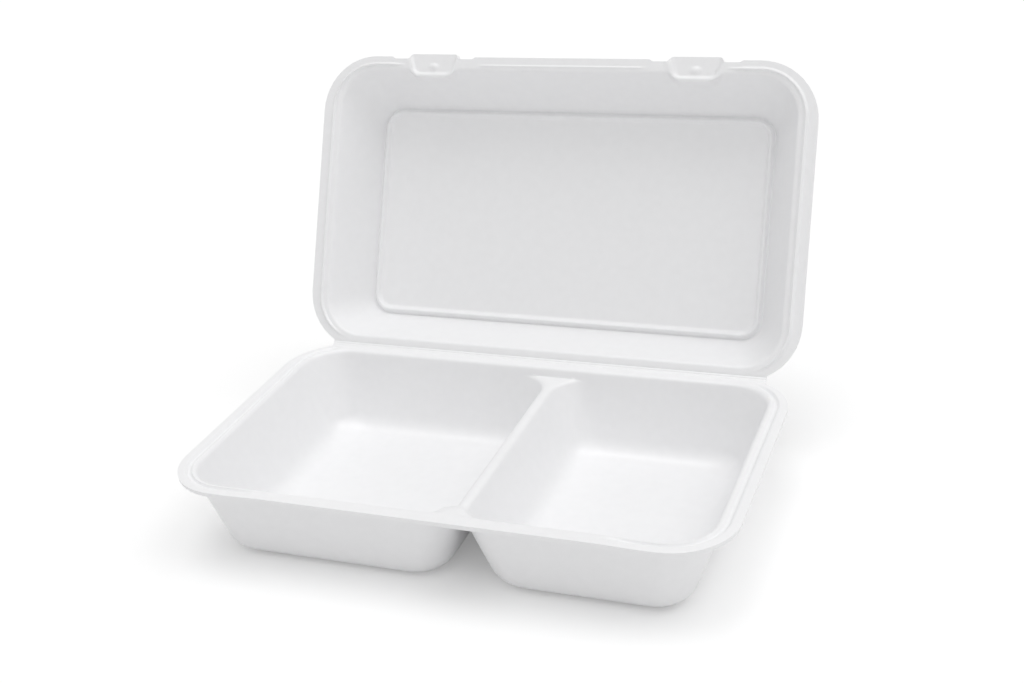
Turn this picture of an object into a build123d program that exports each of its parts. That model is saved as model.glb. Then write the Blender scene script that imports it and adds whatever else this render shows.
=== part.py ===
"""Two-compartment foam clamshell food box, open: a deep tray and a shallower lid on a living hinge.

Millimetres, +Z up. The origin lies on the table, under the middle of the larger compartment's foot.
X runs along the fold to the smaller compartment, and the fold is at the back of the tray, on the +Y side.
Both halves are made about the middle of the rim's width, the lid closed over the tray, and are then put
in place.
"""
from build123d import *
import os

# Rim shared by the tray and the lid
rim_width = 235.0
rim_reach = 137.0
rim_past_fold = 1.4
rim_corner = 26.0
flange_thickness = 1.5
flange_edge = 0.5
side_flange = 8.6

# Foam sheet, as the moulds press it in each half
tray_wall = 2.2
lid_wall = 1.9
cut_overrun = 5.0

# Tray: each run is how far a sloped wall leans inwards from the mouth to the table
tray_height = 38.0
front_flange = 6.7
back_flange = 5.8
tray_side_run = 13.3
tray_front_run = 8.4
tray_back_run = 9.3
tray_corner = 16.0
foot_corner = 13.0
foot_edge_radius = 6.0
floor_edge_radius = 5.0
tray_shoulder_radius = 1.8

# Divider between the two compartments
divider_x = 9.7
divider_top_width = 4.2
divider_drop = 4.0
divider_run = 9.6
divider_corner = 12.5
divider_edge_radius = 2.4
divider_end_land = 4.6
divider_end_ramp = 3.0

# Groove in the tray's flange, and the lid's bead that drops into it
groove_from_edge = 5.2
groove_width = 3.4
groove_depth = 0.7
bead_width = 2.4
bead_height = 0.6
bead_root = 1.0
groove_front_run = 36.0
bead_front_run = 33.5
groove_back_run = 15.0
bead_back_run = 13.5

# Living hinge, scored along both sides
strip_length = 208.0
strip_half_width = 1.8
strip_thickness = 0.9
score_width = 0.6
score_depth = 0.35
fold_gap = 0.3
closed_gap = 0.4
open_angle = 115.0

# Lid: each run is how far a sloped wall leans inwards from the mouth to the crown
lid_depth = 24.0
free_flange = 6.0
hinge_flange = 4.8
lid_side_run = 12.9
lid_free_run = 15.2
lid_hinge_run = 11.0
lid_corner = 14.5
lid_shoulder_radius = 1.5
crown_edge = 1.6
crown_rib_inset = 3.0
crown_rib_width = 5.0
crown_rib_height = 1.8
crown_rib_flat = 0.6

# Closing tabs on the lid's free edge
tab_x = 62.5
tab_width = 24.6
tab_inner_width = 19.0
tab_past_rim = 1.9
tab_length = 10.0
tab_corner = 3.0
tab_recess = 1.2
tab_rim = 1.6
tab_pad_depth = 5.5
relief_length = 8.6
relief_depth = 0.9
nub_radius = 1.8
nub_height = 0.9
nub_from_tab_end = 3.6

# Places worked out from the sizes above
rim_half_width = rim_width / 2
front_y = -rim_reach / 2
fold_y = rim_reach / 2
fold_z = tray_height + closed_gap / 2
lid_face_z = tray_height + closed_gap
mouth_half_width = rim_half_width - side_flange
divider_top_z = tray_height - divider_drop
web_z = divider_top_z - tray_wall
foot_half_width = mouth_half_width - tray_side_run + tray_wall
foot_gap_half_width = divider_top_width / 2 + divider_run - tray_wall
large_foot_x = (divider_x - foot_gap_half_width - foot_half_width) / 2


def plan(x_min, x_max, y_min, y_max, corner, z):
    """Flat rounded rectangle between two pairs of limits, at height z."""
    corners = [(x_min, y_min), (x_max, y_min), (x_max, y_max), (x_min, y_max)]
    return Pos(0, 0, z) * make_face(FilletPolyline(*corners, radius=corner, close=True))


def rim_plan(inset, z):
    """The rim's outline pulled in by an inset. It runs past the fold, where each half is cut off."""
    half = rim_half_width - inset
    return plan(-half, half, front_y + inset, fold_y + rim_past_fold - inset, rim_corner - inset, z)


def flange(z):
    """Flange plate from height z upwards, with its edges eased."""
    plate = extrude(rim_plan(0, z), flange_thickness)
    return chamfer(plate.faces().filter_by(Axis.Z).edges(), flange_edge)


def block(x_min, x_max, y_min, y_max, z_min, z_max):
    """Box between three pairs of limits."""
    middle = Pos((x_min + x_max) / 2, (y_min + y_max) / 2, (z_min + z_max) / 2)
    return middle * Box(x_max - x_min, y_max - y_min, z_max - z_min)


def upright_edges(body):
    """Edges between the sloped sides of a block, from left to right."""
    ends = body.faces().filter_by(Axis.Z).edges()
    return [edge for edge in body.edges().sort_by(Axis.X) if edge not in ends]


def drafted(low, high, z_min, z_max, corner_left, corner_right):
    """Block with sloped sides and rounded upright edges, between two rectangles given as x and y limits."""
    x_min, x_max, y_min, y_max = low
    top_x_min, top_x_max, top_y_min, top_y_max = high
    wedge = Wedge(x_max - x_min, z_max - z_min, y_max - y_min, top_x_min - x_min, y_max - top_y_max,
                  top_x_max - x_min, y_max - top_y_min, align=None)
    body = Pos(x_min, y_max, z_min) * Rot(90, 0, 0) * wedge
    body = fillet(upright_edges(body)[:2], corner_left)
    return fillet(upright_edges(body)[-2:], corner_right)


def ring(outline, inset, width, flat, z, rise):
    """Closed band with sloped flanks round an outline, standing up or sunk by a rise from height z."""
    half, half_flat = width / 2, flat / 2
    outside = loft([outline(inset - half, z), outline(inset - half_flat, z + rise)], ruled=True)
    inside = loft([outline(inset + half, z), outline(inset + half_flat, z + rise)], ruled=True)
    return outside - inside


def along_rim(band, front_run, back_run):
    """The part of a band along both sides of the rim and round its corners."""
    front_x, back_x = rim_half_width - front_run, rim_half_width - back_run
    low_z, high_z = -rim_reach, rim_reach
    between = block(-front_x, front_x, -rim_reach, 0, low_z, high_z)
    return band - between - block(-back_x, back_x, 0, rim_reach, low_z, high_z)


def with_hinge_strip(body, face_z, side):
    """Ends a half short of the fold and adds its scored strip, below the face for -1 and above it for 1."""
    strip_y, edge_y = fold_y - strip_half_width, fold_y - fold_gap / 2
    back_z, score_z = face_z + side * strip_thickness, face_z + side * score_depth
    half_length, half_score = strip_length / 2, score_width / 2
    body -= block(-rim_width, rim_width, strip_y, rim_reach, -rim_reach, rim_reach)
    body += block(-half_length, half_length, strip_y - strip_half_width, edge_y,
                  min(face_z, back_z), max(face_z, back_z))
    return body - block(-half_length, half_length, strip_y - half_score, strip_y + half_score,
                        min(face_z, score_z), max(face_z, score_z))


def mouth_limits(z, grow):
    """X and y limits of the tray's outer walls at height z, grown by a wall or by nothing."""
    share = 1 - z / tray_height
    half_width = mouth_half_width - tray_side_run * share + grow
    front = front_y + front_flange + tray_front_run * share - grow
    back = fold_y - back_flange - tray_back_run * share + grow
    return -half_width, half_width, front, back


def compartment_limits(side, z, grow):
    """X and y limits of one compartment, -1 for the left and 1 for the right, at height z."""
    x_min, x_max, front, back = mouth_limits(z, grow)
    half_divider = divider_top_width / 2 + divider_run * (1 - z / divider_top_z) - grow
    if side < 0:
        return x_min, divider_x - half_divider, front, back
    return divider_x + half_divider, x_max, front, back


def compartment(side, z_min, z_max, grow, corner, edge_radius):
    """One compartment's outside or inside, with a rounded bottom edge."""
    near_divider = divider_corner + grow
    left, right = (corner, near_divider) if side < 0 else (near_divider, corner)
    low, high = compartment_limits(side, z_min, grow), compartment_limits(side, z_max, grow)
    body = drafted(low, high, z_min, z_max, left, right)
    return fillet(body.faces().sort_by(Axis.Z)[0].edges(), edge_radius)


def hollow(side, z_max):
    """Inside of one compartment, from its floor up to a height."""
    return compartment(side, tray_wall, z_max, 0, tray_corner, floor_edge_radius)


def mouth(z_min, grow, corner):
    """Outside or inside of the tray's undivided top, from height z_min to the rim."""
    low, high = mouth_limits(z_min, grow), mouth_limits(tray_height, grow)
    return drafted(low, high, z_min, tray_height, corner, corner)


def divider_front_end():
    """Swelling of the front wall between the compartments' corners, where the divider ramps up to the rim."""
    land_y = front_y + front_flange + divider_end_land
    side_view = Polyline((front_y + front_flange, tray_height), (land_y, tray_height),
                         (land_y + divider_end_ramp, web_z), (front_y + front_flange, web_z), close=True)
    swelling = extrude(Plane.YZ * make_face(side_view), rim_width, both=True)
    reach = divider_top_width + divider_corner
    swelling &= block(divider_x - reach, divider_x + reach, -rim_reach, 0, 0, tray_height)
    return swelling - hollow(-1, tray_height) - hollow(1, tray_height)


def make_tray():
    """Tray: grooved flange, two feet with a gap between them, two compartments and a low rounded divider."""
    lower = block(-rim_width, rim_width, -rim_reach, rim_reach, web_z, divider_top_z)
    lower &= mouth(web_z, tray_wall, foot_corner)
    for side in (-1, 1):
        lower += compartment(side, 0, divider_top_z, tray_wall, foot_corner, foot_edge_radius)
    lower -= hollow(-1, divider_top_z) + hollow(1, divider_top_z)
    lower = fillet(lower.faces().sort_by(Axis.Z)[-1].inner_wires().edges(), divider_edge_radius)
    upper = mouth(web_z, tray_wall, foot_corner) + flange(tray_height - flange_thickness)
    body = lower + (upper - mouth(web_z, 0, tray_corner)) + divider_front_end()
    body = fillet(body.faces().sort_by(Axis.Z)[-1].inner_wires()[0].edges(), tray_shoulder_radius)
    groove_flat = groove_width - 2 * groove_depth
    groove = ring(rim_plan, groove_from_edge, groove_width, groove_flat, tray_height, -groove_depth)
    body -= along_rim(groove, groove_front_run, groove_back_run)
    return with_hinge_strip(body, tray_height, -1)


def lid_limits(depth, grow):
    """X and y limits of the lid's sloped walls at a depth from its face, grown by a wall or by nothing."""
    share = depth / lid_depth
    half_width = mouth_half_width - lid_side_run * share + grow
    front = front_y + free_flange + lid_free_run * share - grow
    back = fold_y - hinge_flange - lid_hinge_run * share + grow
    return -half_width, half_width, front, back


def lid_block(depth, grow):
    """Outside or inside of the lid, from its face to a depth."""
    low, high = lid_limits(0, grow), lid_limits(depth, grow)
    corner = lid_corner + grow
    return drafted(low, high, lid_face_z, lid_face_z + depth, corner, corner)


def crown_plan(inset, z):
    """Outline of the lid's flat crown pulled in by an inset, at height z."""
    return plan(*lid_limits(lid_depth, -inset), lid_corner - inset, z)


def crown_band(z):
    """Ring that stands towards the inside of the lid from height z, close to the crown's edge."""
    return ring(crown_plan, crown_rib_inset, crown_rib_width, crown_rib_flat, z, -crown_rib_height)


def tab_plan(side, grow, z):
    """Tapered outline of a closing tab, wider at the free edge."""
    outer_y = front_y - tab_past_rim
    inner_y = outer_y + tab_length + grow
    outer_half, inner_half = tab_width / 2 + grow, tab_inner_width / 2 + grow
    centre = side * tab_x
    corners = [(centre - outer_half, outer_y), (centre + outer_half, outer_y),
               (centre + inner_half, inner_y), (centre - inner_half, inner_y)]
    return Pos(0, 0, z) * make_face(FilletPolyline(*corners, radius=tab_corner, close=True))


def with_tab(body, shell, side):
    """Adds a closing tab: a pad inside the wall, a sunk plate past the rim, two reliefs and a small nub."""
    plate_z = lid_face_z + tab_recess
    body += extrude(tab_plan(side, tab_rim, lid_face_z), tab_pad_depth) & shell
    for end in (-1, 1):
        start = side * tab_x + end * tab_width / 2
        stop = start + end * relief_length
        body -= block(min(start, stop), max(start, stop), front_y - cut_overrun, front_y + relief_depth,
                      lid_face_z - cut_overrun, lid_face_z + lid_depth)
    body -= extrude(tab_plan(side, 0, lid_face_z), tab_recess)
    body += extrude(tab_plan(side, 0, plate_z), flange_thickness)
    nub_y = front_y - tab_past_rim + tab_length - nub_from_tab_end
    nub = Cylinder(nub_radius, nub_height, align=(Align.CENTER, Align.CENTER, Align.MAX))
    return body + Pos(side * tab_x, nub_y, plate_z) * nub


def make_bead():
    """Bead on the lid's flange, with a root below the face that fills it over the rounded shoulder."""
    half = bead_width / 2
    outside = rim_plan(groove_from_edge - half, lid_face_z)
    inside = rim_plan(groove_from_edge + half, lid_face_z)
    root = extrude(outside, bead_root) - extrude(inside, bead_root)
    flat = bead_width - 2 * bead_height
    crest = ring(rim_plan, groove_from_edge, bead_width, flat, lid_face_z, -bead_height)
    return along_rim(root + crest, bead_front_run, bead_back_run)


def make_lid():
    """Lid, made closed over the tray: beaded flange, sloped walls, a ribbed crown and two closing tabs."""
    slope = lid_side_run / lid_depth
    wall_run = lid_wall * (1 + slope ** 2) ** 0.5
    hull = lid_block(lid_depth + lid_wall, wall_run)
    hull = chamfer(hull.faces().sort_by(Axis.Z)[-1].edges(), crown_edge)
    shell = hull + flange(lid_face_z)
    crown_z = lid_face_z + lid_depth
    body = shell - (lid_block(lid_depth, 0) - crown_band(crown_z)) - crown_band(crown_z + lid_wall)
    body = fillet(body.faces().sort_by(Axis.Z)[0].inner_wires()[0].edges(), lid_shoulder_radius)
    for side in (-1, 1):
        body = with_tab(body, shell, side)
    return with_hinge_strip(body + make_bead(), lid_face_z, 1)


fold = Axis((0, fold_y, fold_z), (1, 0, 0))
to_origin = Pos(-large_foot_x, 0, 0)
os.makedirs("parts", exist_ok=True)
export_step(to_origin * make_tray(), "parts/tray.step")
export_step(to_origin * make_lid().rotate(fold, -open_angle), "parts/lid.step")
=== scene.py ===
"""Open foam clamshell food box on a white sweep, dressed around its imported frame."""

import math

import bmesh
import bpy
from mathutils import Matrix, Vector


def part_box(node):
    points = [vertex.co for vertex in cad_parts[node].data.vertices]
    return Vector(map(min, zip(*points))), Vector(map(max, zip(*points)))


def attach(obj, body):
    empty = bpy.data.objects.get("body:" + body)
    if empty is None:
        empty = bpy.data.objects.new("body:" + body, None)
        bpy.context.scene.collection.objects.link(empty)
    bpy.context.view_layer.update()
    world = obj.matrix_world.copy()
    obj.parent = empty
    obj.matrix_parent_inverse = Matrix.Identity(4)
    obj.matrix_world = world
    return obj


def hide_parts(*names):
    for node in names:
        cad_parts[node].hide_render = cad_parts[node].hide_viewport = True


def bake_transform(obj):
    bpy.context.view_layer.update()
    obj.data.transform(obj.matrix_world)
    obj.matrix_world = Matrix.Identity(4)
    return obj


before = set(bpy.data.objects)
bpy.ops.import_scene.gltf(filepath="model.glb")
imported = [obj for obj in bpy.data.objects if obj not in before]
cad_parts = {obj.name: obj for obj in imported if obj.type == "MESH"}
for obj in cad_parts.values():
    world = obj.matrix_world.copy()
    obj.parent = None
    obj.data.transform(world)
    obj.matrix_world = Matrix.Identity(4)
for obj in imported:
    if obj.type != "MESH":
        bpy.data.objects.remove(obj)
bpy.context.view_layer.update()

MM = 0.001

# Sizes of the frame, in millimetres about the middle of the rim's width
tray_low, tray_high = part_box("tray")
rim_middle_x = (tray_low.x + tray_high.x) / 2 / MM
rim_half_width = (tray_high.x - tray_low.x) / 2 / MM
front_y = tray_low.y / MM
fold_y = -front_y
tray_height = tray_high.z / MM
rim_reach = 2 * fold_y

# Both halves: their outlines, the rings of flange and shoulder, and the sheet's rounded edge
rim_past_fold = 1.4
rim_corner, corner_segments = 26.0, 12
mouth_corner = 17.4
side_flange = 8.6
flange_insets = (0.4, 1.0, 1.8, 2.6, 3.1, 3.5, 3.9, 4.3, 4.7, 5.1, 5.5, 5.9, 6.3)
flange_tolerance = 0.1
shoulder_shares = (0.0, 0.2, 0.4, 0.6, 0.8, 1.0)
edge_round, edge_segments, edge_angle = 0.45, 3, 50.0

# Each rim's face lies this far from the fold's axis, and the lid stands open by this angle
face_offset = 0.2
open_angle = 115.0

# Tray
front_flange, back_flange = 6.7, 5.8
tray_side_run, tray_front_run, tray_back_run = 13.3, 8.4, 9.3
tray_wall = 2.2
tray_sheet = 0.85 * tray_wall
mouth_fillet = 1.6
tray_cuts_across, tray_cuts_along = 90, 40

# Floors: the fillet's reach, its height as a share of the wall, and how its corners tighten along it
floor_z = tray_wall
floor_corner = 12.0
floor_fillet, fillet_share, fillet_steps = 7.5, 0.25, 8
corner_tightening = 0.4
floor_insets, floor_inner_corner = (12.0, 24.0), 8.0

# Divider: its crest lies below the rim, under the mouth's last rings. Each ring of its rounded top has a
# drop from the crest, a half width of the divider and a corner beside it
divider_x = 9.7
divider_drop = 4.0
crest_z = tray_height - divider_drop
mouth_rings_above_crest = (1.6, 0.8, 0.0)
crest_rings = ((0.1, 1.0, 9.0), (0.3, 1.6, 11.0), (0.65, 2.05, 12.0), (1.15, 2.4, 12.5), (1.8, 2.65, 12.5))
wall_top_drop, divider_top_half, divider_corner = crest_rings[-1]
divider_foot_half = 11.7
wall_shares = (0.15, 0.3, 0.45, 0.6, 0.75)

# Rim's swelling over the divider's front end, by distances from the divider and from the front edge
swell_flat, swell_end = 1.0, 19.0
swell_flat_y, swell_end_y = 12.0, 17.5

# Groove in the tray's flange, and the droop of the flange's edge beside it; both run round the corners.
# A run's two distances from the rim's sides say where it starts and where it is full
groove_from_edge, groove_depth = 5.2, 1.15
groove_flat, groove_fade = 0.5, 1.5
groove_front_run, groove_back_run = (50.0, 32.0), (18.0, 12.0)
edge_droop, droop_start, droop_end = 0.5, -1.0, 3.6

# Lid
lid_depth = 24.0
lid_wall = 1.5
free_flange, hinge_flange = 6.0, 4.8
lid_side_run, lid_free_run, lid_hinge_run = 12.9, 15.2, 11.0
lid_shoulder_depth, lid_shoulder_width = 1.0, 1.2
lid_wall_depths = (1.6, 2.3, 3.0, 3.8, 4.6, 5.6, 7.0, 9.0, 12.0, 15.0, 18.0, 20.5, 22.3)
lid_cuts_across, lid_cuts_along = 230, 30

# Crown's valley, rib and panel, as insets from the foot of the walls and depths
crown_corner, crown_least_corner = 9.5, 4.0
crown_profile = (
    (-0.5, 22.85), (-0.15, 23.55), (0.2, 23.85), (0.55, 23.75), (0.9, 23.3), (1.25, 22.7), (1.6, 22.25),
    (1.95, 22.08), (2.3, 22.05), (2.65, 22.2), (3.0, 22.65), (3.3, 23.15), (3.6, 23.6), (3.95, 23.88),
    (4.35, 23.98), (4.8, 24.0), (5.6, 24.0), (14.0, 24.0), (26.0, 24.0))

# Bead of the lid's rim, which the tray's groove takes, with runs like the groove's, and the low bead
# between the tabs
bead_height, bead_flat, bead_fade = 1.0, 0.2, 1.2
bead_free_run, bead_hinge_run = (42.0, 32.0), (19.5, 9.5)
low_bead_inset, low_bead_height, low_bead_fade = 5.6, 0.35, 1.0
low_bead_full, low_bead_end = 36.0, 41.0

# Closing tabs, with a recessed pan and a nub in each, and the reliefs beside them
tab_x = 62.5
tab_outer_half, tab_inner_half = 12.3, 9.5
tab_past_rim, tab_length, tab_push_y = 1.4, 9.5, 131.0
tab_push_flat, tab_push_end = tab_outer_half - 1.4, tab_outer_half + 0.3
tab_corner = 3.0
tab_edge_height, tab_recess, tab_recess_run = 0.2, 1.2, 1.2
tab_hold_flat, tab_hold_end = 1.3, 2.3
relief_depth, relief_y = 0.9, 133.0
relief_start, relief_full = tab_outer_half - 1.2, tab_outer_half + 0.5
relief_flat, relief_end = tab_outer_half + 7.2, tab_outer_half + 8.6
nub_half_width, nub_half_length, nub_height, nub_from_inner_end = 3.0, 2.0, 0.8, 3.6

# Hinge strip, pressed between the two rims
strip_half_width = 1.8
strip_half_length = 104.0
strip_thickness = 0.7
strip_lap = 4.3
strip_bend, strip_segments = 1.9, 24
strip_ripple, strip_ripples = 0.05, 3
strip_fold = Vector((0, fold_y + 0.13, tray_height - 0.1))

# Y limits of each half's rim, and its flange's width at each of them
tray_rim = (front_y, fold_y + rim_past_fold, front_flange, back_flange + rim_past_fold)
lid_rim = (-rim_past_fold, rim_reach, hinge_flange + rim_past_fold, free_flange)

# Place of each half; the lid has a frame of its own: x across, y from the fold to the free edge and
# z out of its face
tray_place = Matrix.Translation((rim_middle_x, 0, 0))
lid_place = (Matrix.Translation((rim_middle_x, fold_y, tray_height + face_offset))
             @ Matrix.Rotation(math.radians(180 - open_angle), 4, "X")
             @ Matrix.Translation((0, 0, -face_offset)))

# Foam's mottling and pressed cells; the real cells are too fine to show and are drawn as coarse as they need
mottle_size, cell_size, cell_depth = 4.0, 1.1, 0.1

# Floor, in metres, its glow, and the room's light: its level and how it leans to the right and upwards
floor_half_size, floor_glow = 6.0, 0.18
room_level, room_lean = 0.47, (0.14, 0.0, 0.2)

# Camera, from the straight edges of the rim and lid in the photograph
camera_azimuth = 22.44
camera_elevation = 25.11
camera_roll = -5.20
camera_distance = 578.1 * MM
camera_target = Vector((rim_middle_x + 16.54, -0.8, 81.92)) * MM
camera_sensor = 36.0
camera_focal_px = 1453.8
image_width_px = 1024


def linear(hex_colour):
    """sRGB hex colour as a linear one with full alpha."""
    channels = [int(hex_colour[i:i + 2], 16) / 255 for i in (1, 3, 5)]
    return [c / 12.92 if c <= 0.04045 else ((c + 0.055) / 1.055) ** 2.4 for c in channels] + [1.0]


# Materials
def add_node(tree, kind, settings=None, **links):
    """Adds a node, sets its properties and unlinked sockets, and links the sockets named."""
    node = tree.nodes.new(kind)
    for name, value in (settings or {}).items():
        if name in node.inputs:
            node.inputs[name].default_value = value
        else:
            setattr(node, name, value)
    for name, source in links.items():
        tree.links.new(source, node.inputs[name.replace("_", " ")])
    return node


def new_material(name):
    """New material and its empty node tree."""
    material = bpy.data.materials.new(name)
    material.use_nodes = True
    material.node_tree.nodes.clear()
    return material, material.node_tree


def seen_rays(tree):
    """Socket that is 1 for camera, glossy and transmission rays, which see the plain white background."""
    path = add_node(tree, "ShaderNodeLightPath")
    seen = path.outputs["Is Camera Ray"]
    for name in ("Is Glossy Ray", "Is Transmission Ray"):
        either = add_node(tree, "ShaderNodeMath", {"operation": "MAXIMUM"})
        tree.links.new(seen, either.inputs[0])
        tree.links.new(path.outputs[name], either.inputs[1])
        seen = either.outputs[0]
    return seen


def foam_material():
    """Moulded polystyrene foam: a pale skin with a soft sheen, fine pressed cells and faint mottling."""
    material, tree = new_material("moulded_polystyrene_foam")
    place = add_node(tree, "ShaderNodeTexCoord").outputs["Object"]
    mottle = add_node(tree, "ShaderNodeTexNoise", {"Scale": 1 / (mottle_size * MM), "Detail": 4.0},
                      Vector=place)
    colour = add_node(tree, "ShaderNodeValToRGB", Fac=mottle.outputs["Fac"])
    for stop, position, shade in zip(colour.color_ramp.elements, (0.3, 0.7), ("#f5f5f6", "#f7f7f8")):
        stop.position = position
        stop.color = linear(shade)
    cells = add_node(tree, "ShaderNodeTexVoronoi", {"Scale": 1 / (cell_size * MM)}, Vector=place)
    bump = add_node(tree, "ShaderNodeBump", {"Strength": 0.08, "Distance": cell_depth * MM},
                    Height=cells.outputs["Distance"])
    shader = add_node(tree, "ShaderNodeBsdfPrincipled", {"Roughness": 0.38, "Specular IOR Level": 1.0},
                      Base_Color=colour.outputs["Color"], Normal=bump.outputs[0])
    add_node(tree, "ShaderNodeOutputMaterial", Surface=shader.outputs["BSDF"])
    return material


def floor_material():
    """Matt white paper sweep, which the camera sees as plain white wherever no shadow falls."""
    material, tree = new_material("white_paper_sweep")
    paper = add_node(tree, "ShaderNodeBsdfDiffuse", {"Color": linear("#f5f5f5")})
    glow = add_node(tree, "ShaderNodeEmission", {"Color": linear("#ffffff"), "Strength": floor_glow})
    bright = add_node(tree, "ShaderNodeAddShader")
    tree.links.new(paper.outputs[0], bright.inputs[0])
    tree.links.new(glow.outputs[0], bright.inputs[1])
    mix = add_node(tree, "ShaderNodeMixShader", Fac=seen_rays(tree))
    tree.links.new(paper.outputs[0], mix.inputs[1])
    tree.links.new(bright.outputs[0], mix.inputs[2])
    add_node(tree, "ShaderNodeOutputMaterial", Surface=mix.outputs[0])
    return material


# Shapes that both halves share
def rise(low, high, value):
    """Smooth rise from 0 at low to 1 at high."""
    share = min(max((value - low) / (high - low), 0.0), 1.0)
    return share * share * (3 - 2 * share)


def fit_outline(verts, limits, radii):
    """Moves a loop onto a rounded rectangle with x and y limits and left and right corner radii."""
    x_min, x_max, y_min, y_max = limits
    low_x, high_x = min(v.co.x for v in verts), max(v.co.x for v in verts)
    low_y, high_y = min(v.co.y for v in verts), max(v.co.y for v in verts)
    for vert in verts:
        x = x_min + (vert.co.x - low_x) / (high_x - low_x) * (x_max - x_min)
        y = y_min + (vert.co.y - low_y) / (high_y - low_y) * (y_max - y_min)
        radius = radii[0] if 2 * x < x_min + x_max else radii[1]
        centre = Vector((min(max(x, x_min + radius), x_max - radius),
                         min(max(y, y_min + radius), y_max - radius)))
        vert.co.x, vert.co.y = centre + (Vector((x, y)) - centre).normalized() * radius


def add_ring(shape, face, limits, radii, height):
    """Insets a flat face and moves it to a new outline and height, which leaves a ring round it."""
    bmesh.ops.inset_region(shape, faces=[face], thickness=0.1, use_even_offset=True, use_boundary=True)
    fit_outline(list(face.verts), limits, radii)
    for vert in face.verts:
        vert.co.z = height


def rounded_plate(limits, corner, height, long_cuts, short_cuts):
    """New bmesh with one flat face, its corners rounded and its straight sides cut up, and that face."""
    x_min, x_max, y_min, y_max = limits
    shape = bmesh.new()
    bmesh.ops.create_grid(shape, x_segments=1, y_segments=1, size=0.5)
    bmesh.ops.scale(shape, vec=(x_max - x_min, y_max - y_min, 1.0), verts=shape.verts)
    bmesh.ops.translate(shape, vec=((x_min + x_max) / 2, (y_min + y_max) / 2, height), verts=shape.verts)
    bmesh.ops.bevel(shape, geom=shape.verts[:], offset=corner, offset_type="OFFSET", affect="VERTICES",
                    segments=corner_segments, profile=0.5, material=-1)
    straight = [e for e in shape.edges if e.calc_length() > corner]
    across = [e for e in straight if abs(e.verts[0].co.y - e.verts[1].co.y) < 1e-3]
    bmesh.ops.bisect_edges(shape, edges=across, cuts=long_cuts)
    bmesh.ops.bisect_edges(shape, edges=[e for e in straight if e not in across], cuts=short_cuts)
    shape.faces.ensure_lookup_table()
    return shape, shape.faces[0]


def flange_limits(rim, inset):
    """X and y limits of a rim's outline pulled in by an inset, out to the mouth at the full flange."""
    low_y, high_y, low_flange, high_flange = rim
    share = inset / side_flange
    half_width = rim_half_width - inset
    return -half_width, half_width, low_y + low_flange * share, high_y - high_flange * share


def rim_inset(rim, x, y):
    """Inset at which a rim's outline passes through a point of its flange."""
    low_y, high_y, low_flange, high_flange = rim
    inset = rim_half_width - abs(x)
    past = abs(x) - (rim_half_width - rim_corner)
    for from_edge, flange in ((y - low_y, low_flange), (high_y - y, high_flange)):
        straight = from_edge * side_flange / flange
        # In a corner the outline is an arc whose middle slides in y with the inset
        slide = 1 - flange / side_flange
        below = from_edge - rim_corner
        reach, spread = rim_corner + below * slide, 1 - slide ** 2
        under_root = reach ** 2 - spread * (rim_corner ** 2 - past ** 2 - below ** 2)
        rounded = (reach - math.sqrt(max(under_root, 0.0))) / spread
        in_corner = past > 0 and below + rounded * slide < 0
        inset = min(inset, rounded if in_corner else straight)
    return inset


def cut_at_hinge(shape, y, outwards):
    """Cuts a half's skin off along the hinge strip."""
    bmesh.ops.bisect_plane(shape, geom=shape.verts[:] + shape.edges[:] + shape.faces[:],
                           plane_co=(0, y, 0), plane_no=(0, outwards, 0), clear_outer=True)


def new_piece(shape, name, material):
    """Object of a finished bmesh in one material."""
    mesh = bpy.data.meshes.new(name)
    shape.to_mesh(mesh)
    shape.free()
    piece = bpy.data.objects.new(name, mesh)
    bpy.context.collection.objects.link(piece)
    mesh.materials.append(material)
    return piece


def finish_half(shape, name, body, thickness, place):
    """Turns a half's inner skin into a foam sheet with rounded edges that rides on its body."""
    bmesh.ops.transform(shape, matrix=place, verts=shape.verts)
    bmesh.ops.scale(shape, vec=(MM, MM, MM), verts=shape.verts)
    for face in shape.faces:
        face.smooth = True
    half = new_piece(shape, name, foam)
    sheet = half.modifiers.new("foam_sheet", "SOLIDIFY")
    sheet.thickness = thickness * MM
    sheet.offset = -1.0
    edge = half.modifiers.new("rounded_edge", "BEVEL")
    edge.width = edge_round * MM
    edge.segments = edge_segments
    edge.limit_method = "ANGLE"
    edge.angle_limit = math.radians(edge_angle)
    edge.use_clamp_overlap = True
    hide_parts(body)
    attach(half, body)


# Tray
def mouth_limits(z, grow):
    """X and y limits of the tray's inner walls at height z, grown outwards."""
    share = 1 - z / tray_height
    half_width = rim_half_width - side_flange - tray_side_run * share + grow
    front = front_y + front_flange + tray_front_run * share - grow
    back = fold_y - back_flange - tray_back_run * share + grow
    return -half_width, half_width, front, back


def compartment_limits(side, z, half_divider, grow):
    """X and y limits of one compartment at height z, -1 for the left and 1 for the right."""
    x_min, x_max, front, back = mouth_limits(z, grow)
    if side < 0:
        return x_min, divider_x - half_divider, front, back
    return divider_x + half_divider, x_max, front, back


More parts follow.
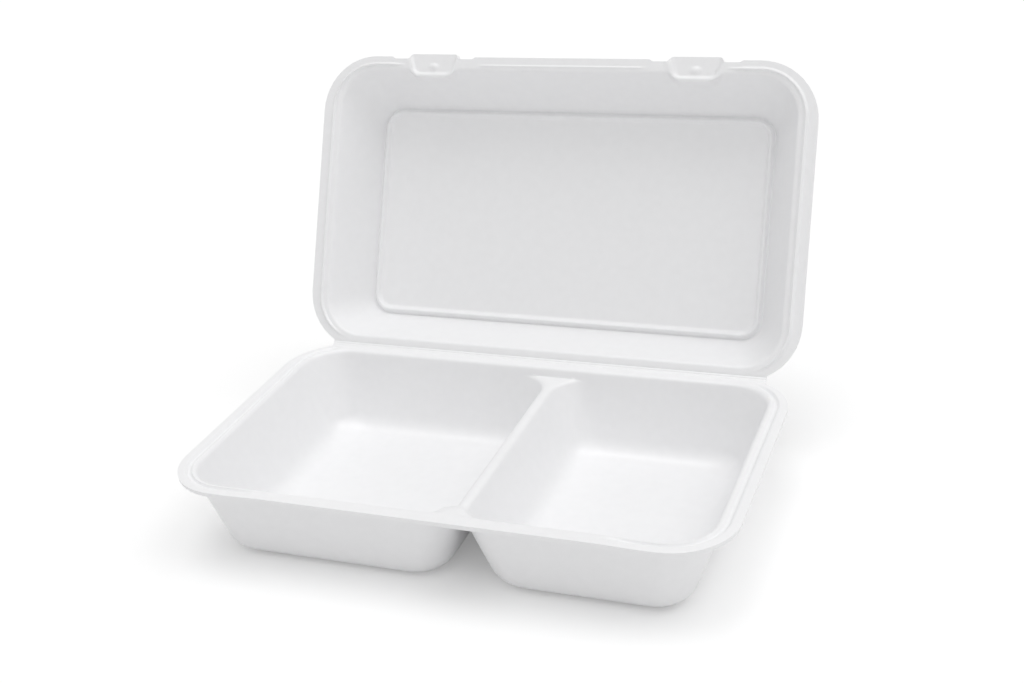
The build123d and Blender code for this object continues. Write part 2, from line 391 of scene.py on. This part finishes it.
def sink_compartment(shape, half, side):
    """Sinks one half of the mouth's face to a floor, past the divider's rounded top, walls and a fillet."""
    def ring(z, half_divider, outer_corner, inner_corner, grow=0.0):
        corners = (outer_corner, inner_corner) if side < 0 else (inner_corner, outer_corner)
        add_ring(shape, half, compartment_limits(side, z, half_divider, grow), corners, z)

    for drop, half_divider, corner in crest_rings:
        ring(crest_z - drop, half_divider, mouth_corner, corner)
    top_z = crest_z - wall_top_drop
    for share in wall_shares:
        half_divider = divider_top_half + (divider_foot_half - divider_top_half) * share
        corner = mouth_corner + (floor_corner - mouth_corner) * share
        ring(top_z + (floor_z - top_z) * share, half_divider, corner, divider_corner)
    for step in range(1, fillet_steps + 1):
        share = step / fillet_steps
        z = floor_z + (top_z - floor_z) * fillet_share * (1 - share) ** 2
        inwards = floor_fillet * share ** 2
        wall_share = (top_z - z) / (top_z - floor_z)
        half_divider = divider_top_half + (divider_foot_half - divider_top_half) * wall_share + inwards
        tighter = inwards * corner_tightening
        ring(z, half_divider, floor_corner - tighter, divider_corner - tighter, -inwards)
    for inwards in floor_insets:
        ring(floor_z, divider_foot_half + inwards, floor_inner_corner, floor_inner_corner, -inwards)


def dent_tray(point):
    """Groove and droop of the flange, and the rim's swelling over the front end of the divider."""
    x, y, z = point
    if z > tray_height - flange_tolerance:
        inset = rim_inset(tray_rim, x, y)
        start, full = groove_front_run if y < 0 else groove_back_run
        along = rise(-start, -full, abs(x) - rim_half_width)
        z -= groove_depth * along * (1 - rise(groove_flat, groove_fade, abs(inset - groove_from_edge)))
        z -= edge_droop * along * (1 - rise(droop_start, droop_end, inset))
    lift = 1 - rise(swell_flat, swell_end, abs(x - divider_x))
    lift *= 1 - rise(swell_flat_y, swell_end_y, y - front_y)
    if z > crest_z:
        z += (tray_height - z) * lift
    else:
        z += (z - floor_z) / (crest_z - floor_z) * divider_drop * lift
    return Vector((x, y, z))


def make_tray():
    """Inner skin of the tray: flange, mouth, two compartments and the divider between them."""
    shape, face = rounded_plate(flange_limits(tray_rim, 0), rim_corner, tray_height,
                                tray_cuts_across, tray_cuts_along)
    for inset in flange_insets:
        add_ring(shape, face, flange_limits(tray_rim, inset), [rim_corner - inset] * 2, tray_height)
    for share in shoulder_shares:
        z = tray_height - mouth_fillet * share ** 2
        grow = mouth_fillet * (1 - share) ** 2
        add_ring(shape, face, mouth_limits(z, grow), [mouth_corner + grow] * 2, z)
    for above in mouth_rings_above_crest:
        add_ring(shape, face, mouth_limits(crest_z + above, 0), [mouth_corner] * 2, crest_z + above)
    cut = bmesh.ops.bisect_plane(shape, geom=[face, *face.edges, *face.verts], plane_co=(divider_x, 0, 0),
                                 plane_no=(1, 0, 0))["geom_cut"]
    seam = next(e for e in cut if isinstance(e, bmesh.types.BMEdge))
    halves = sorted(seam.link_faces, key=lambda f: f.calc_center_median().x)
    bmesh.ops.bisect_edges(shape, edges=[seam], cuts=tray_cuts_along)
    for side, half in zip((-1, 1), halves):
        sink_compartment(shape, half, side)
    cut_at_hinge(shape, fold_y - strip_half_width, 1)
    for vert in shape.verts:
        vert.co = dent_tray(vert.co)
    finish_half(shape, "tray_foam", "tray", tray_sheet, tray_place)


# Lid
def lid_limits(depth, grow):
    """X and y limits of the lid's sloped walls at a depth from its face, grown outwards."""
    share = depth / lid_depth
    half_width = rim_half_width - side_flange - lid_side_run * share + grow
    return (-half_width, half_width, hinge_flange + lid_hinge_run * share - grow,
            rim_reach - free_flange - lid_free_run * share + grow)


def dent_lid(point):
    """Beads of the rim, and the two closing tabs with their reliefs and nubs."""
    x, y, z = point
    free_side = y > rim_reach / 2
    if z > -flange_tolerance:
        inset = rim_inset(lid_rim, x, y)
        start, full = bead_free_run if free_side else bead_hinge_run
        along = rise(-start, -full, abs(x) - rim_half_width)
        z += bead_height * along * (1 - rise(bead_flat, bead_fade, abs(inset - groove_from_edge)))
        if free_side:
            along = 1 - rise(low_bead_full, low_bead_end, abs(x))
            z += low_bead_height * along * (1 - rise(bead_flat, low_bead_fade, abs(inset - low_bead_inset)))
    from_tab = abs(abs(x) - tab_x)
    push = tab_past_rim * rise(tab_push_y, rim_reach, y)
    to_end = y + push - (rim_reach + tab_past_rim - tab_length)
    to_side = tab_inner_half + (tab_outer_half - tab_inner_half) * to_end / tab_length - from_tab
    inside = min(to_side, to_end)
    if to_side < tab_corner and to_end < tab_corner:
        inside = tab_corner - math.hypot(tab_corner - to_side, tab_corner - to_end)
    pan = tab_edge_height - (tab_recess + tab_edge_height) * rise(0.0, tab_recess_run, inside)
    from_nub = math.hypot((abs(x) - tab_x) / nub_half_width, (to_end - nub_from_inner_end) / nub_half_length)
    pan += nub_height * max(1 - from_nub * from_nub, 0.0) ** 1.5
    z += (pan - z) * (1 - rise(tab_hold_flat, tab_hold_end, -inside))
    y += push * (1 - rise(tab_push_flat, tab_push_end, from_tab))
    relief = rise(relief_start, relief_full, from_tab) * (1 - rise(relief_flat, relief_end, from_tab))
    y -= relief_depth * relief * rise(relief_y, rim_reach, y)
    return Vector((x, y, z))


def make_lid():
    """Inner skin of the lid: flange, sloped walls, the crown's rib and its flat panel."""
    shape, face = rounded_plate(flange_limits(lid_rim, 0), rim_corner, 0.0, lid_cuts_across, lid_cuts_along)
    for inset in flange_insets:
        add_ring(shape, face, flange_limits(lid_rim, inset), [rim_corner - inset] * 2, 0.0)
    for share in shoulder_shares:
        depth, grow = lid_shoulder_depth * share ** 2, lid_shoulder_width * (1 - share) ** 2
        add_ring(shape, face, lid_limits(depth, grow), [mouth_corner + grow] * 2, -depth)
    for depth in lid_wall_depths:
        radius = mouth_corner + (crown_corner - mouth_corner) * depth / lid_depth
        add_ring(shape, face, lid_limits(depth, 0), [radius] * 2, -depth)
    for inset, depth in crown_profile:
        radius = max(crown_corner - max(inset, 0.0), crown_least_corner)
        add_ring(shape, face, lid_limits(lid_depth, -inset), [radius] * 2, -depth)
    cut_at_hinge(shape, strip_half_width, -1)
    for vert in shape.verts:
        vert.co = dent_lid(vert.co)
    finish_half(shape, "lid_foam", "lid", lid_wall, lid_place)


# Hinge
def make_hinge():
    """Living hinge: a thin strip pressed between the two rims, bent along the fold with fine ripples."""
    profile = [Vector((0, fold_y - strip_lap, tray_height - face_offset)), strip_fold,
               lid_place @ Vector((-rim_middle_x, strip_lap, -face_offset))]
    shape = bmesh.new()
    verts = [shape.verts.new(point) for point in profile]
    edges = [shape.edges.new(pair) for pair in zip(verts, verts[1:])]
    bmesh.ops.translate(shape, vec=(rim_middle_x - strip_half_length, 0, 0), verts=shape.verts)
    swept = bmesh.ops.extrude_edge_only(shape, edges=edges)["geom"]
    bmesh.ops.translate(shape, vec=(2 * strip_half_length, 0, 0),
                        verts=[v for v in swept if isinstance(v, bmesh.types.BMVert)])
    crease = next(e for e in shape.edges if len(e.link_faces) == 2)
    bend = bmesh.ops.bevel(shape, geom=[crease], offset=strip_bend, offset_type="OFFSET", affect="EDGES",
                           segments=strip_segments, profile=0.5, material=-1)["verts"]
    chord, outwards = Vector((0, 1, 1)).normalized(), Vector((0, -1, 1))
    low, high = min(v.co.dot(chord) for v in bend), max(v.co.dot(chord) for v in bend)
    for vert in bend:
        turns = strip_ripples * (vert.co.dot(chord) - low) / (high - low)
        vert.co += outwards * strip_ripple * math.cos(2 * math.pi * turns)
    bmesh.ops.recalc_face_normals(shape, faces=shape.faces)
    if sum(f.normal.z for f in shape.faces) < 0:
        bmesh.ops.reverse_faces(shape, faces=shape.faces)
    bmesh.ops.solidify(shape, geom=shape.faces[:], thickness=strip_thickness)
    bmesh.ops.recalc_face_normals(shape, faces=shape.faces)
    bmesh.ops.scale(shape, vec=(MM, MM, MM), verts=shape.verts)
    strip = new_piece(shape, "hinge_strip", foam)
    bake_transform(strip)


# Floor, light and camera
def make_floor():
    """White sweep under the box."""
    shape = bmesh.new()
    bmesh.ops.create_grid(shape, x_segments=1, y_segments=1, size=floor_half_size)
    floor = new_piece(shape, "floor", floor_material())


def light_room():
    """Pale room, a little brighter above and on the right, that the camera sees as white."""
    world = bpy.data.worlds.new("white_room")
    bpy.context.scene.world = world
    world.use_nodes = True
    tree = world.node_tree
    tree.nodes.clear()
    lean = add_node(tree, "ShaderNodeVectorMath", {"operation": "DOT_PRODUCT"})
    tree.links.new(add_node(tree, "ShaderNodeTexCoord").outputs["Generated"], lean.inputs[0])
    lean.inputs[1].default_value = room_lean
    level = add_node(tree, "ShaderNodeMath", {"operation": "ADD"})
    tree.links.new(lean.outputs["Value"], level.inputs[0])
    level.inputs[1].default_value = room_level
    room = add_node(tree, "ShaderNodeBackground", {"Color": linear("#ffffff")}, Strength=level.outputs[0])
    seen = add_node(tree, "ShaderNodeBackground", {"Color": linear("#ffffff"), "Strength": 1.0})
    mix = add_node(tree, "ShaderNodeMixShader", Fac=seen_rays(tree))
    tree.links.new(room.outputs[0], mix.inputs[1])
    tree.links.new(seen.outputs[0], mix.inputs[2])
    add_node(tree, "ShaderNodeOutputWorld", Surface=mix.outputs[0])


def add_sun(name, towards, angle, strength):
    """Wide soft light from far away, from the direction given."""
    lamp = bpy.data.lights.new(name, "SUN")
    lamp.angle = math.radians(angle)
    lamp.energy = strength
    holder = bpy.data.objects.new(name, lamp)
    holder.matrix_world = Vector(towards).to_track_quat("Z", "Y").to_matrix().to_4x4()
    bpy.context.collection.objects.link(holder)


def place_camera():
    """Camera at its fitted place, turned about its line of sight by the roll."""
    azimuth, elevation, roll = (math.radians(v) for v in (camera_azimuth, camera_elevation, camera_roll))
    back = Vector((math.sin(azimuth) * math.cos(elevation), -math.cos(azimuth) * math.cos(elevation),
                   math.sin(elevation)))
    right = Vector((math.cos(azimuth), math.sin(azimuth), 0.0))
    up = back.cross(right)
    turned_right = right * math.cos(roll) + up * math.sin(roll)
    turned_up = up * math.cos(roll) - right * math.sin(roll)
    axes = Matrix((turned_right, turned_up, back)).transposed().to_4x4()
    camera_data = bpy.data.cameras.new("camera")
    camera_data.sensor_width = camera_sensor
    camera_data.lens = camera_sensor * camera_focal_px / image_width_px
    camera = bpy.data.objects.new("camera", camera_data)
    camera.matrix_world = Matrix.Translation(camera_target + back * camera_distance) @ axes
    bpy.context.collection.objects.link(camera)
    bpy.context.scene.camera = camera


foam = foam_material()
make_tray()
make_lid()
make_hinge()
make_floor()
light_room()
add_sun("softbox_above", (-0.12, 0.0, 1.0), 34.0, 0.52)
add_sun("softbox_right", (0.5, 0.1, 0.86), 36.0, 0.42)
add_sun("fill_front", (0.0, -0.42, 0.84), 40.0, 0.17)
place_camera()
bpy.context.scene.view_settings.view_transform = "Standard"
